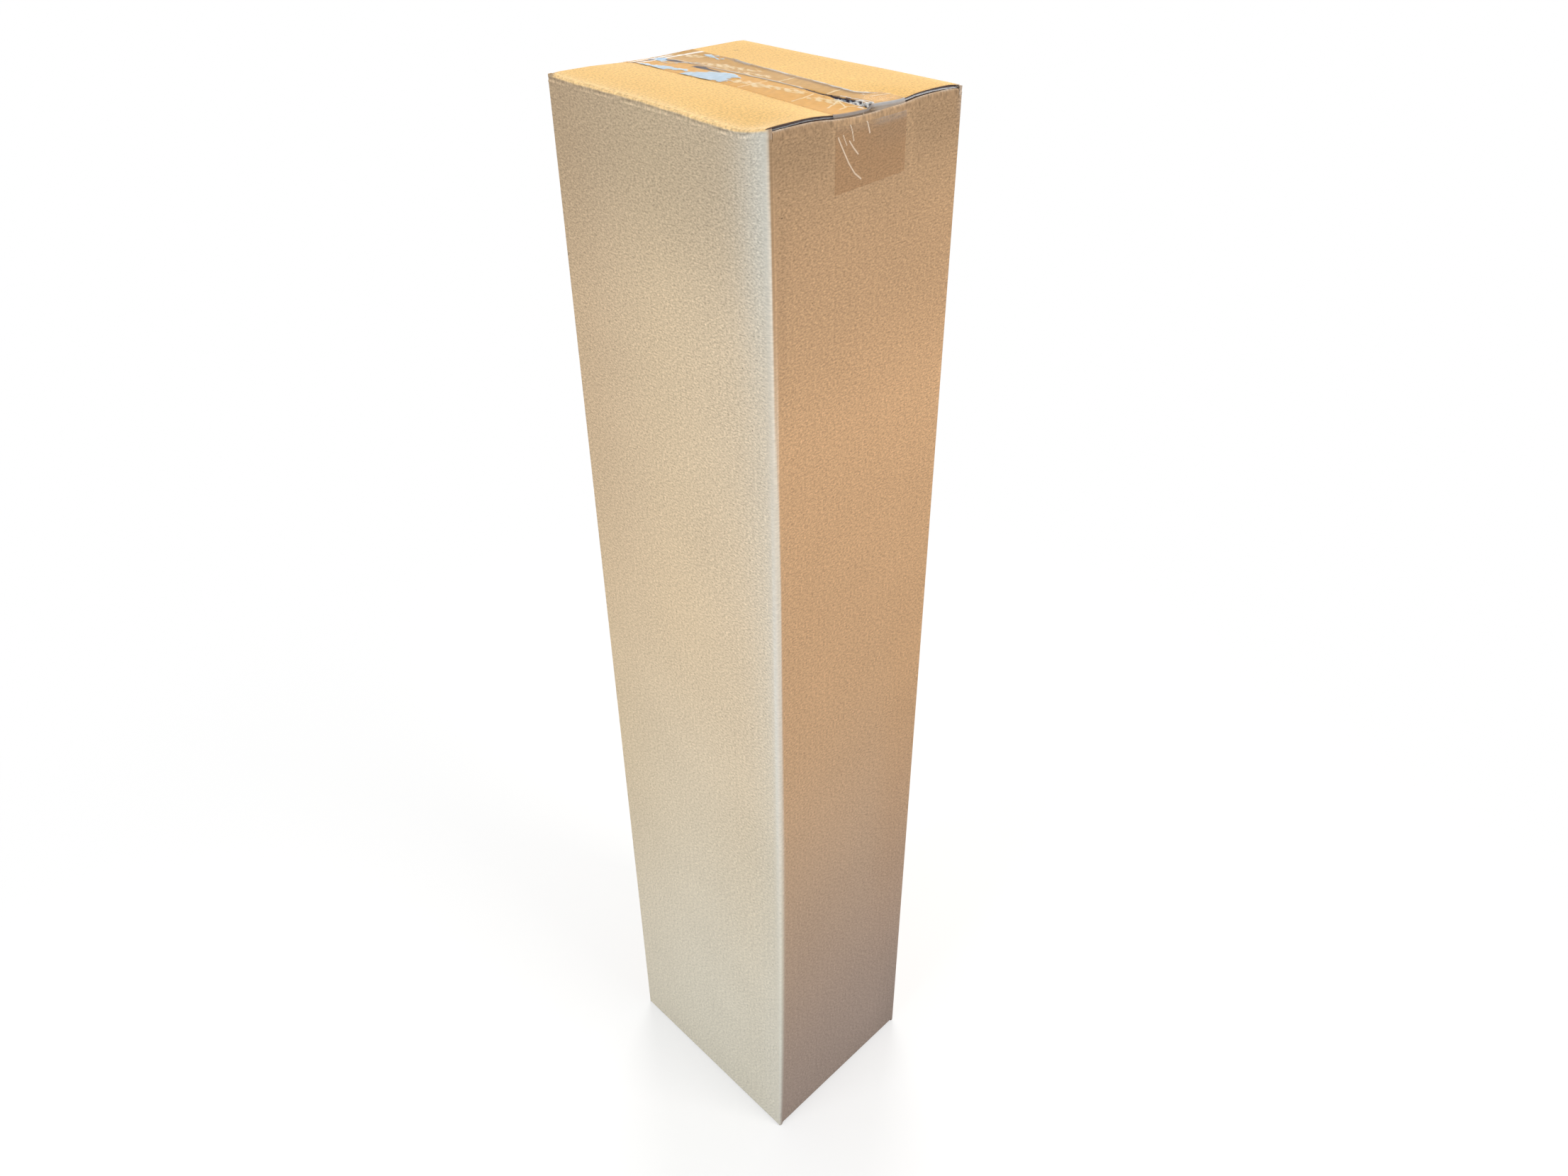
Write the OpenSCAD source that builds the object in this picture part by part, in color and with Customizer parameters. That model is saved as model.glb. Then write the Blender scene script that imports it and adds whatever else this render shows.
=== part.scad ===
// Long upright shipping carton, closed with one strip of clear tape.
// Slotted style: four walls, a glued joint, four inner flaps and four outer flaps, folded
// from one corrugated blank. Its flutes run up the walls and on across each flap.
// The origin is on the floor, under the middle of the carton. +Z is up, +X lies along the
// narrow end walls, and +Y along the wide side walls. The taped end wall faces -Y.

/* [Carton] */
// Outer size along X, across the two wide side walls
box_b = 197; // [150:1:320]
// Outer size along Y, across the two narrow end walls
box_a = 235; // [210:1:400]
// Outer height, from the floor to the top of the outer flaps
box_h = 1102; // [300:1:1600]

/* [Board] */
// Thickness of the corrugated board
board_t = 4; // [2.5:0.1:5]
// Inside radius of a fold
fold_in = 0.6; // [0.3:0.1:1.5]
// Thickness of one paper liner
liner_t = 0.5; // [0.3:0.05:0.8]
// Thickness of the wavy paper between the liners
medium_t = 0.4; // [0.25:0.05:0.6]
// Distance from one flute to the next
flute_pitch = 7.7; // [5:0.1:10]
// Depth to which the flutes stand open in a cut edge
flute_open = 1.5; // [0.5:0.1:3]

/* [Flaps] */
// How far the ends of an outer flap stay behind the end walls
outer_inset = 3; // [1.5:0.1:4]
// Play between the edge of an inner flap and the side wall beside it
inner_play = 1; // [0.5:0.1:3]
// Air between the inner and the outer flaps at the top, where nothing glues them
flap_air = 0.3; // [0.2:0.1:1]
// Depth of the slots below the outside of the inner flaps
slot_drop = 1.5; // [0.5:0.1:3]
// Width of the seam at its tight end, at the back
seam_back = 1.5; // [0.5:0.1:4]
// Width of the seam at its open end, at the front
seam_front = 4; // [0.5:0.1:8]

/* [Glued joint] */
// Width of the tab that is glued behind the last wall
tab_w = 35; // [25:1:50]
// How much shorter the tab gets at each end towards its free edge
tab_taper = 12; // [5:1:20]
// How far the raw edge of the last wall stays short of the corner
raw_short = 1; // [0.5:0.1:2]
// Size of the bead of glue behind the tab's fold
glue_bead = 1; // [0.7:0.1:1.5]

/* [Tape] */
// Width of the tape
tape_w = 72; // [48:1:96]
// Thickness of the tape
tape_t = 0.2; // [0.1:0.05:0.5]
// Sideways place of the middle of the tape at the front edge
tape_x_front = 0; // [-10:0.5:10]
// Sideways place of the middle of the tape at the back edge
tape_x_back = 5.5; // [-10:0.5:10]
// Length of the front tail, from the top of the carton down to its longer corner
tail_front = 54; // [30:1:100]
// How much shorter the front tail is at its other corner
tail_slant = 3.5; // [0:0.5:10]
// Length of the back tail
tail_back = 50; // [30:1:100]
// Width of the margin that is tucked in along the right edge
tuck_w = 14; // [0:0.5:20]
// Distance of the tuck from each end wall
tuck_end = 24; // [10:1:40]
// Length over which the tuck opens out towards the front
tuck_ramp = 12; // [5:1:20]
// Length along which the tuck stays at its full width
tuck_deep = 24; // [5:1:60]

/* [Hidden] */
$fn = 48;
fold_r = board_t + fold_in;
half_a = box_a / 2;
half_b = box_b / 2;
// Both flap depths are alike, because one cut through the blank sets them
flap_reach = half_b - seam_back / 2;
inner_half = half_b - board_t - inner_play;
// Outside faces of the inner flaps, and the levels down to which the slots are cut
inner_top = box_h - board_t - flap_air;
inner_bottom = board_t;
slot_top = inner_top - slot_drop;
slot_bottom = inner_bottom + slot_drop;
// Levels at which the end walls begin to bend into their flaps
bend_top = inner_top - fold_r;
bend_bottom = inner_bottom + fold_r;
flute_h = board_t - 2 * liner_t;
flap_end = half_a - outer_inset;
seam_len = 2 * flap_end;
// Place of the free edge of the flap at -X, as the seam opens towards the front
function seam_edge(y) = -(seam_back + (seam_front - seam_back) * (flap_end - y) / seam_len) / 2;
// Room cleared at the glued corner, and how far the straight walls run into it
joint_room = board_t + fold_r;
lap = 1;
kraft = [0.80, 0.63, 0.44];
film = [0.74, 0.56, 0.36, 0.75];

// Rectangle about the origin with round corners
module round_rect(w, d, r) {
    square([w - 2 * r, d], center = true);
    square([w, d - 2 * r], center = true);
    for (sx = [-1, 1], sy = [-1, 1])
        translate([sx * (w / 2 - r), sy * (d / 2 - r)]) circle(r);
}

// Quarter of a vertical fold, centred on its own axis, on the side of +X and +Y
module fold_arc() {
    intersection() {
        difference() {
            circle(fold_r);
            circle(fold_in);
        }
        square(fold_r);
    }
}

// Outline from x0 to x1 and y0 to y1, with its two corners at x0 made round
module round_end(x0, x1, y0, y1, r) {
    translate([x0 + r, y0]) square([x1 - x0 - r, y1 - y0]);
    translate([x0, y0 + r]) square([x1 - x0, y1 - y0 - 2 * r]);
    for (y = [y0 + r, y1 - r]) translate([x0 + r, y]) circle(r);
}

// Section of one wall with its top and bottom flap. The wall's outside lies at x = 0, and
// the flaps reach to x = reach. skin is what is left off at both faces of the board.
module panel_section(bottom, top, reach, skin = 0) {
    inside = board_t - skin;
    difference() {
        round_end(skin, reach, bottom + skin, top - skin, fold_r - skin);
        round_end(inside, reach + lap, bottom + inside, top - inside, fold_in + skin);
    }
}

// Side wall at -X with its two outer flaps, as a solid between y0 and y1
module side_slice(y0, y1, skin = 0) {
    translate([-half_b, y1, 0]) rotate([90, 0, 0]) linear_extrude(y1 - y0)
        panel_section(0, box_h, half_b, skin);
}

// One opening between a liner and the wavy paper, in a cut across the flutes. It starts at
// the origin and is one flute long, with the board's thickness along Y.
module flute_mouth() {
    swing = (flute_h - medium_t) / 2;
    polygon(concat(
        [[flute_pitch * 11 / 12, liner_t], [flute_pitch / 12, liner_t]],
        [for (a = [30 : 60 : 330])
            [flute_pitch * a / 360, board_t / 2 - medium_t / 2 - swing * cos(a)]]));
}

// All the openings along a cut of this length, above and below the wavy paper in turn
module flute_mouths(length) {
    count = floor(length / flute_pitch - 0.5);
    first = (length - (count + 0.5) * flute_pitch) / 2;
    for (i = [0 : count - 1]) {
        translate([first + i * flute_pitch, 0]) flute_mouth();
        translate([first + (i + 0.5) * flute_pitch, board_t]) mirror([0, 1]) flute_mouth();
    }
}

// What the seam and its open flutes take away from the flap that starts at height z0
module seam_cut(z0) {
    slant = atan2((seam_front - seam_back) / 2, seam_len);
    translate([0, 0, z0 - lap]) linear_extrude(board_t + 2 * lap)
        polygon([[lap, -flap_end - lap], [seam_edge(-flap_end - lap), -flap_end - lap],
            [seam_edge(flap_end + lap), flap_end + lap], [lap, flap_end + lap]]);
    translate([seam_edge(-flap_end) - flute_open, -flap_end, z0]) rotate([0, 0, -slant])
        rotate([90, 0, 90]) linear_extrude(flute_open + lap) flute_mouths(seam_len);
}

// Side wall at -X with both outer flaps, its seam edges and its open end cuts
module side_panel() {
    difference() {
        side_slice(-flap_end, flap_end);
        side_slice(-flap_end - lap, -flap_end + flute_open, liner_t);
        side_slice(flap_end - flute_open, flap_end + lap, liner_t);
        seam_cut(box_h - board_t);
        seam_cut(0);
    }
}

// End wall at -Y with both inner flaps, from x0 to x1
module end_panel(x0, x1) {
    translate([x0, -half_a, 0]) rotate([90, 0, 90])
        linear_extrude(x1 - x0) panel_section(inner_bottom, inner_top, flap_reach);
}

// Plan of the four walls, with the glued corner left open at +X and +Y
module wall_ring() {
    difference() {
        round_rect(box_b, box_a, fold_r);
        round_rect(box_b - 2 * board_t, box_a - 2 * board_t, fold_in);
        translate([half_b - joint_room, half_a - joint_room]) square(joint_room + lap);
    }
    // The last wall runs on to its raw edge
    difference() {
        translate([half_b - board_t, half_a - joint_room - lap])
            square([board_t, joint_room + lap - raw_short]);
        translate([half_b - board_t + liner_t, half_a - raw_short - flute_open])
            square([flute_h, flute_open + lap]);
    }
    // The back wall bends inwards behind it, and a bead of glue fills the corner
    translate([half_b - joint_room, half_a - fold_r]) fold_arc();
    translate([half_b - board_t - glue_bead, half_a - fold_r]) square([glue_bead + lap, glue_bead]);
}

// Tab of the glued joint, against the inside of the last wall
module glue_tab() {
    start = half_a - fold_r + glue_bead;
    high = inner_top - board_t - inner_play;
    low = inner_bottom + board_t + inner_play;
    translate([half_b - 2 * board_t, 0, 0]) rotate([90, 0, 90]) linear_extrude(board_t)
        polygon([[start, low], [start, high], [half_a - fold_r - tab_w, high - tab_taper],
            [half_a - fold_r - tab_w, low + tab_taper]]);
}

module carton() {
    color(kraft) {
        translate([0, 0, bend_bottom]) linear_extrude(bend_top - bend_bottom) wall_ring();
        // Only the corners stand up beside the bends, as far as the slots
        translate([0, 0, slot_bottom]) linear_extrude(slot_top - slot_bottom) difference() {
            wall_ring();
            square([2 * inner_half, 2 * box_a], center = true);
        }
        glue_tab();
        side_panel();
        mirror([1, 0, 0]) side_panel();
        end_panel(-inner_half, inner_half);
        mirror([0, 1, 0]) end_panel(-inner_half, half_b - joint_room);
    }
}

// Path of the tape over one end, in the plane of the distance inwards from the end wall and
// the height. The tape drops down the wall, follows the bend of the end wall, and runs
// straight on to the edge of the outer flap. gap is the distance from the board.
drape_rise = box_h - bend_top;
drape_run = outer_inset - fold_r;
drape_to = atan2(drape_rise, drape_run) + acos(fold_r / norm([drape_run, drape_rise]));
drape_steps = 4;
function drape(gap, tail) = concat(
    [[-gap, box_h - tail]],
    [for (i = [drape_steps : -1 : 0])
        let (turn = drape_to + (180 - drape_to) * i / drape_steps)
        [fold_r + (fold_r + gap) * cos(turn), bend_top + (fold_r + gap) * sin(turn)]],
    gap > 0 ? [[outer_inset + gap * cos(drape_to), box_h + gap * sin(drape_to)]] : [],
    [[outer_inset, box_h + gap]]);
function reversed(points) = [for (i = [len(points) - 1 : -1 : 0]) points[i]];
function turned(points) = [for (p = reversed(points)) [box_a - p[0], p[1]]];
function over_both_ends(gap) = concat(drape(gap, tail_front), turned(drape(gap, tail_back)));
// Middle of the tape, which lies a little askew on the flaps and hangs straight at the ends
function tape_x(y) = let (along = max(-flap_end, min(flap_end, y)))
    tape_x_front + (tape_x_back - tape_x_front) * (along + flap_end) / seam_len;

// Plan of the tape, with the margin that is tucked in along its right edge
module tape_plan() {
    half = tape_w / 2;
    over = half_a + lap;
    open_y = -half_a + tuck_end;
    deep_y = open_y + tuck_ramp;
    far_y = deep_y + tuck_deep;
    left = [for (y = [-over, -flap_end, flap_end, over]) [tape_x(y) - half, y]];
    right = [for (y = [over, flap_end, half_a - tuck_end, far_y, deep_y, open_y, -flap_end, -over])
        [tape_x(y) + half - (y == far_y || y == deep_y ? tuck_w : 0), y]];
    polygon(concat(left, right));
}

// What was torn off below the slanting end of the front tail
module torn_end() {
    middle = box_h - tail_front + tail_slant / 2;
    reach = tape_w / 2 + lap;
    rise = tail_slant / tape_w * reach;
    translate([tape_x_front, -half_a + lap, 0]) rotate([90, 0, 0]) linear_extrude(2 * lap)
        polygon([[-reach, middle - rise - tail_slant - lap], [reach, middle - rise - tail_slant - lap],
            [reach, middle + rise], [-reach, middle - rise]]);
}

module clear_tape() {
    color(film) difference() {
        intersection() {
            translate([-half_b, -half_a, 0]) rotate([90, 0, 90]) linear_extrude(box_b)
                polygon(concat(over_both_ends(0), reversed(over_both_ends(tape_t))));
            linear_extrude(box_h + lap) tape_plan();
        }
        torn_end();
    }
}

carton();
clear_tape();
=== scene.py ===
"""Looks of a tall shipping carton of brown corrugated board, closed with one strip of clear tape.

Lengths are in millimetres until a mesh is made. A point of the board is given by its wall, its place c
along that wall, its place v up the blank, which takes walls and flaps as one path, and its depth below
the outer paper. p stands for points as x, y and z.
"""

import math

import bpy
import numpy as np
from mathutils import Matrix, Vector


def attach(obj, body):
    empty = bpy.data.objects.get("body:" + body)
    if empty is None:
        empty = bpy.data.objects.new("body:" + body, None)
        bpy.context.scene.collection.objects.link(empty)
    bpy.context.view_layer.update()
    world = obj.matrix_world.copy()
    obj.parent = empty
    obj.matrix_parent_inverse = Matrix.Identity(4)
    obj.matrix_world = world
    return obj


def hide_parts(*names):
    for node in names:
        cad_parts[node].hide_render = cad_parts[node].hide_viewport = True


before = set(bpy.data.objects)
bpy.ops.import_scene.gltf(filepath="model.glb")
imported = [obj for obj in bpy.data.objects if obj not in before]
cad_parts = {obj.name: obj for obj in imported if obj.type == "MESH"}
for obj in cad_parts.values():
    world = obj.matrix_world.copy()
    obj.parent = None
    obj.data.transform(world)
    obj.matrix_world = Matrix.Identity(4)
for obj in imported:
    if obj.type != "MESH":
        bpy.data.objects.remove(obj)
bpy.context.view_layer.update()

MM = 0.001  # In metres

# Sizes of the carton
WIDTH = 197.0  # Outside, along X
DEPTH = 235.0  # Outside, along Y
HEIGHT = 1102.0
BOARD = 4.0
HALF_X, HALF_Y = WIDTH / 2, DEPTH / 2
R_IN, R_OUT = 0.6, 4.6  # Radii of a fold, inside and outside
ELBOW = 4.0  # Length that a fold takes of the path up the blank
CRISP_TOP, CRISP_BOTTOM, CRISP_UPRIGHT = 1.8, 3.2, 2.3  # Radii of the outer paper, which turns tighter
INNER_TOP, INNER_BOTTOM = HEIGHT - BOARD - 0.3, BOARD
BEND_TOP, BEND_BOTTOM = INNER_TOP - R_OUT, INNER_BOTTOM + R_OUT
SLOT_TOP, SLOT_BOTTOM = HEIGHT - 2.6, 2.6  # Ends of the slots between the flaps
FLAP_INSET = 3.0  # From an end wall's outside to the outer flaps' cut edges
FLAP_END = HALF_Y - FLAP_INSET
INNER_HALF = HALF_X - BOARD - 1.0  # Half the width of an inner flap
INNER_REACH = HALF_X - 0.75
RAW_END = HALF_Y - 1.0  # The last wall's free edge at the back
SEAM_BACK, SEAM_FRONT = 1.5, 4.0  # The top seam's width
TOP_END = HEIGHT - R_OUT + ELBOW + HALF_X - R_OUT - (SEAM_BACK + SEAM_FRONT) / 4
BOTTOM_END = HEIGHT - TOP_END
TAB, TAB_SLANT = 35.0, 12.0
LINER = 0.5  # Thickness of the paper at each side of a cut edge
OPEN = 1.5  # How deep the flutes stand open in a cut edge
PITCH = 7.7  # From one flute to the next
RUBBED = 4.5  # Reach of the smooth paper to both sides of the near fold

BACK, LEFT, FRONT, RIGHT = range(4)
# Middle of each wall's outside, the way along it, and the way inwards
ORIGIN = np.array([[0, HALF_Y], [-HALF_X, 0], [0, -HALF_Y], [HALF_X, 0]], float)
ALONG = np.array([[-1, 0], [0, -1], [1, 0], [0, 1]], float)
INWARD = np.array([[0, -1], [1, 0], [0, 1], [-1, 0]], float)


def step(t):
    """Goes smoothly from 0 at t = 0 to 1 at t = 1."""
    t = np.clip(t, 0.0, 1.0)
    return t * t * (3 - 2 * t)


def rise(value, start, stop):
    """Goes smoothly from 0 at start to 1 at stop, which may be the lower one."""
    return step((value - start) / (stop - start))


def hump(value, centre, width):
    """1 where value is centre, and smoothly less to both sides."""
    return np.exp(-(((value - centre) / width) ** 2))


def follow(value, points):
    """Reads a line of (place, height) points at each place."""
    places, heights = zip(*points)
    return np.interp(value, places, heights)


def wobble(p, q, size, seed, octaves=3):
    """Smooth irregular field of about -1 to 1; size is its longest wave."""
    draws = np.random.default_rng(seed)
    total = 0.0
    for k in range(octaves):
        for _ in range(4):
            turn, phase = draws.uniform(0, 2 * math.pi, 2)
            f = 2 * math.pi * 2**k / size * draws.uniform(0.7, 1.4)
            total = total + 0.55**k * np.sin(f * (p * math.cos(turn) + q * math.sin(turn)) + phase)
    return total / 3.2


def near_line(x, y, points):
    """Distance from each place to a line of points."""
    best = np.full(np.broadcast(x, y).shape, 1e9)
    for (ax, ay), (bx, by) in zip(points[:-1], points[1:]):
        dx, dy = bx - ax, by - ay
        t = np.clip(((x - ax) * dx + (y - ay) * dy) / (dx * dx + dy * dy + 1e-9), 0, 1)
        best = np.minimum(best, np.hypot(x - ax - t * dx, y - ay - t * dy))
    return best


def inside(x, y, points):
    """True where a place lies inside a closed outline."""
    hit = np.zeros(np.broadcast(x, y).shape, bool)
    for (ax, ay), (bx, by) in zip(points, points[1:] + points[:1]):
        cross = (ay > y) != (by > y)
        hit ^= cross & (x < (bx - ax) * (y - ay) / (by - ay + 1e-12) + ax)
    return hit


# How the carton has settled: (place, movement up) along the edges of its top
FRONT_EDGE = [
    (-98.5, -0.5), (-96, -0.1), (-88, 0.2), (-78, 0.45), (-60, 0.6), (-49, 0.0), (-36, -1.6), (-20, -2.6),
    (-6, -2.8), (15, -2.2), (37, -1.4), (47, 0.2), (61, 0.7), (76, 0.8), (90, 0.3), (98.5, -1.8),
]
BACK_EDGE = [(-98.5, 0), (-60, 0), (-30, -1.1), (-6, -1.5), (15, -1.2), (42, -0.2), (60, 0), (98.5, 0)]
LEFT_EDGE = [
    (-117.5, 0.6), (-113, 0), (-108, -1.2), (-99, -3.3), (-90, -4.6), (-72, -4.1), (-54, -3.4),
    (-36, -2.5), (-18, -1.6), (10, -1.2), (90, -0.9), (108, -0.2), (117.5, 0),
]
BOW, BOW_WAY = 3.4, (0.69, -0.725)  # Of the near vertical edge at mid height
BULGE = 0.7  # Of the walls


def front_line(x):
    """Movement of the front edge, with its corners rounded off."""
    return sum(follow(x + shift, FRONT_EDGE) for shift in (-6, -3, 0, 3, 6)) / 5


def settle(p):
    """Moves points of the plain carton to where the used one has them."""
    x, y, z = p[..., 0], p[..., 1], p[..., 2]
    front = hump(y, -HALF_Y, 42)
    drop = front_line(x) * front
    drop = drop + (1 - front) * (0.3 * wobble(x, y, 190, 3, 2) - 0.5 * rise(np.abs(x), 87, HALF_X))
    drop = drop + follow(y, LEFT_EDGE) * hump(x, -HALF_X, 28)
    drop = drop + follow(x, BACK_EDGE) * hump(y, HALF_Y, 22)
    tall = np.clip(z / HEIGHT, 0, 1)
    bow = BOW * np.sin(np.pi * tall**0.95).clip(0) ** 0.8
    bow = bow * hump(np.hypot(x + HALF_X, y + HALF_Y), 0, 42)
    bulge = BULGE * np.sin(np.pi * tall)
    bulge_x = bulge * (x / HALF_X) ** 3 * np.cos(np.pi * y / DEPTH).clip(0)
    bulge_y = bulge * (y / HALF_Y) ** 3 * np.cos(np.pi * x / WIDTH).clip(0)
    out = np.array(p, float)
    out[..., 0] += BOW_WAY[0] * bow + bulge_x * wobble(y, z, 420, 11, 2)
    out[..., 1] += BOW_WAY[1] * bow + bulge_y * wobble(x, z, 420, 12, 2)
    out[..., 2] += drop * rise(z, 1045, 1095)
    return out


def flap_lift(x, y):
    """The right flap's edge stands proud of the left one at the front of the seam."""
    return 2.0 * rise(x, 34, 0) * rise(y, -68, -113)


def fold(t, depth, crisp):
    """How far inwards and onwards a fold has come at share t of its turn.
    The score line lets the outer paper turn tighter than the board is thick."""
    plain = R_OUT - crisp
    d = t * (2 * plain + math.pi / 2 * crisp)
    turn = np.clip((d - plain) / crisp, 0, math.pi / 2)
    last = np.clip(d - plain - math.pi / 2 * crisp, 0, None)
    outer = crisp * (1 - np.cos(turn)) + last, np.minimum(d, plain) + crisp * np.sin(turn)
    turn = t * math.pi / 2
    inner = R_OUT - R_IN * np.cos(turn), R_IN * np.sin(turn)
    k = depth / BOARD
    return outer[0] * (1 - k) + inner[0] * k, outer[1] * (1 - k) + inner[1] * k


def place(wall, c, v, depth, ring=None, post=False):
    """Points of the plain board. ring holds each point's centre and angle on a vertical fold, and 1
    where it lies on one. post marks the narrow posts at the corners of the end walls, which don't
    fold with the inner flaps."""
    outer = (wall == LEFT) | (wall == RIGHT)
    top = np.where(outer | post, HEIGHT, INNER_TOP)
    bottom = np.where(outer | post, 0.0, INNER_BOTTOM)
    y = ORIGIN[wall][..., 1] + ALONG[wall][..., 1] * c
    to_front = (FLAP_END - y) / (2 * FLAP_END)
    seam = SEAM_BACK + (SEAM_FRONT - SEAM_BACK) * to_front
    reach = np.where(outer, HALF_X - seam / 2, INNER_REACH) - R_OUT
    up = v - (top - R_OUT)
    down = (bottom + R_OUT) - v
    crisp = np.where(up > down, CRISP_TOP, CRISP_BOTTOM)
    turned, onward = fold(np.clip(np.maximum(up, down) / ELBOW, 0, 1), depth, crisp)
    far_top = (up - ELBOW) * reach / (TOP_END - top + R_OUT - ELBOW)
    far_bottom = (down - ELBOW) * reach / (bottom + R_OUT - ELBOW - BOTTOM_END)
    far = np.maximum(np.maximum(far_top, far_bottom), 0)
    inwards = np.where(np.maximum(up, down) > 0, turned + far, depth)
    z = np.where(up > 0, top - R_OUT + onward, np.where(down > 0, bottom + R_OUT - onward, v))
    xy = ORIGIN[wall] + ALONG[wall] * c[..., None] + INWARD[wall] * inwards[..., None]
    if ring is not None:
        # Round the vertical folds the board turns, and the flaps beside it don't
        centre, angle, use = ring
        first = np.floor(angle / (math.pi / 2) + 1e-6) * math.pi / 2
        turned, onward = fold((angle - first) / (math.pi / 2), depth, CRISP_UPRIGHT)
        arc = centre + (R_OUT - turned)[..., None] * np.stack([np.cos(first), np.sin(first)], -1)
        arc = arc + onward[..., None] * np.stack([-np.sin(first), np.cos(first)], -1)
        bent = rise(v, BEND_TOP, HEIGHT - R_OUT) + rise(v, BEND_BOTTOM, BEND_BOTTOM - ELBOW)
        flap = outer * (np.abs(c) < FLAP_END + 0.02)
        keep = (use * (1 - np.minimum(bent, 1) * flap))[..., None]
        xy = xy * (1 - keep) + arc * keep
    return np.concatenate([xy, z[..., None]], -1)


def crush_line(wall, y):
    """How far up the blank the crushed line of a long top fold runs."""
    return 1098.07 + 0.12 * wobble(y, 0, 90, 21) + 0.2 * rise(y, -98, -114) * (wall == LEFT)


def finish_board(p, wall, v, depth, post=False):
    """Adds what use has done: the settling, the end walls' folds, proud at the top and pressed down
    at the bottom, the right flap's lift, and the crushed line of the long top folds."""
    y = p[..., 1]
    long_side = (wall == LEFT) | (wall == RIGHT)
    end = np.logical_not(long_side | post)
    q = settle(p)
    q[..., 2] += 1.9 * rise(v, 1093.4, 1095.0) * rise(v, 1096.4, 1095.3) * end
    q[..., 2] -= 2.4 * rise(v, 14, 8.6) * rise(v, 0.6, 5.0) * end
    q[..., 2] += flap_lift(p[..., 0], y) * rise(v, HEIGHT, HEIGHT + 20) * (wall == RIGHT)
    line = crush_line(wall, y)
    crush = 0.3 * hump(v, line, 0.35) - 0.28 * hump(v, line - 1.3, 0.6)
    crush = crush * (1 + 0.5 * wobble(y, v, 23, 22)) * (1 - depth / BOARD)
    crush = crush * (long_side & (v > HEIGHT - R_OUT - 6))
    q[..., :2] += INWARD[wall] * crush[..., None]
    q[..., 2] -= crush * rise(v, 1099, 1102)
    return q


# The folded blank
FLAT_X, FLAT_Y = HALF_X - R_OUT, HALF_Y - R_OUT  # Where the walls' flat parts end
EDGE_TURN = math.asin((FLAP_END - FLAT_Y) / R_OUT)  # Where an outer flap's edge meets the vertical fold
ARC = [math.radians(10), EDGE_TURN] + [math.radians(a) for a in (35, 50, 65, 80)]
SCUFF_X = 43.5  # A light upright scuff on the front wall
# Scratches in the right flap: x from, x to, y, half width, and how much lighter they are
SCRATCHES = [
    (39.6, 67.8, 13.9, 0.6, 0.13),
    (36.5, 47.5, -23.5, 0.6, 0.12),
    (49.0, 53.6, -50.9, 0.5, 0.15),
    (62.0, 64.4, 86.5, 0.8, -0.8),
]


def spaced(start, stop, size, ends):
    """Places from start to stop, close together at both ends."""
    middle_from, middle_to = start + sum(ends), stop - sum(ends)
    n = max(2, round((middle_to - middle_from) / size))
    left = start + np.concatenate([[0], np.cumsum(ends)])
    right = stop - np.concatenate([[0], np.cumsum(ends)])[::-1]
    return np.concatenate([left, np.linspace(middle_from, middle_to, n + 1)[1:-1], right])


def flat_columns(kind, wall, places):
    return [(kind, wall, c, (0.0, 0.0), 0.0) for c in places]


def arc_columns(wall, side, centre, start):
    """Columns round one vertical fold, but for its two ends, which belong to the flats.
    side is -1 where the fold comes before the wall's flat part and 1 where it comes after."""
    found = []
    for turn in ARC if side > 0 else [math.pi / 2 - a for a in reversed(ARC)]:
        off = turn if side > 0 else math.pi / 2 - turn
        c = side * (FLAT_Y + R_OUT * math.sin(off))
        found.append(("arc", wall, c, centre, math.radians(start) + turn))
    return found


def blank_columns():
    """All columns of the blank: kind, wall, c, and the centre and angle on a vertical fold."""
    hinge_x = HALF_X - BOARD - R_OUT
    found = flat_columns("tab", RIGHT, np.linspace(FLAT_Y - TAB, FLAT_Y, 8)[:-1])
    for k in range(7):
        turn = math.radians(min(15 * k, 89.99))
        found.append(("hinge", BACK, -hinge_x, (hinge_x, FLAT_Y), turn))
    inner = spaced(1.6 - hinge_x, INNER_HALF, 6.5, [1.5, 3])
    found += flat_columns("inner", BACK, np.append(0.4 - hinge_x, inner))
    found += flat_columns("flat", BACK, [FLAT_X])
    found += arc_columns(LEFT, -1, (-FLAT_X, FLAT_Y), 90)
    found += flat_columns("outer", LEFT, spaced(-FLAT_Y, FLAT_Y, 5.2, [1.5, 3]))
    found += arc_columns(LEFT, 1, (-FLAT_X, -FLAT_Y), 180)
    found += flat_columns("flat", FRONT, [-FLAT_X])
    inner = spaced(-INNER_HALF, INNER_HALF, 5.2, [0.6, 0.9, 1, 1.2, 1.8, 2.6])
    scuff = [SCUFF_X - 1.2, SCUFF_X, SCUFF_X + 1.1]
    found += flat_columns("inner", FRONT, np.sort(np.append(inner, scuff)))
    found += flat_columns("flat", FRONT, [FLAT_X])
    found += arc_columns(RIGHT, -1, (FLAT_X, -FLAT_Y), 270)
    outer = spaced(-FLAT_Y, FLAP_END, 5.2, [1.5, 3])
    scratched = [y + k * half for _, _, y, half, _ in SCRATCHES for k in (-1, 0, 1)]
    found += flat_columns("outer", RIGHT, np.sort(np.append(outer, scratched)))
    return found + flat_columns("raw", RIGHT, [RAW_END])


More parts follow.
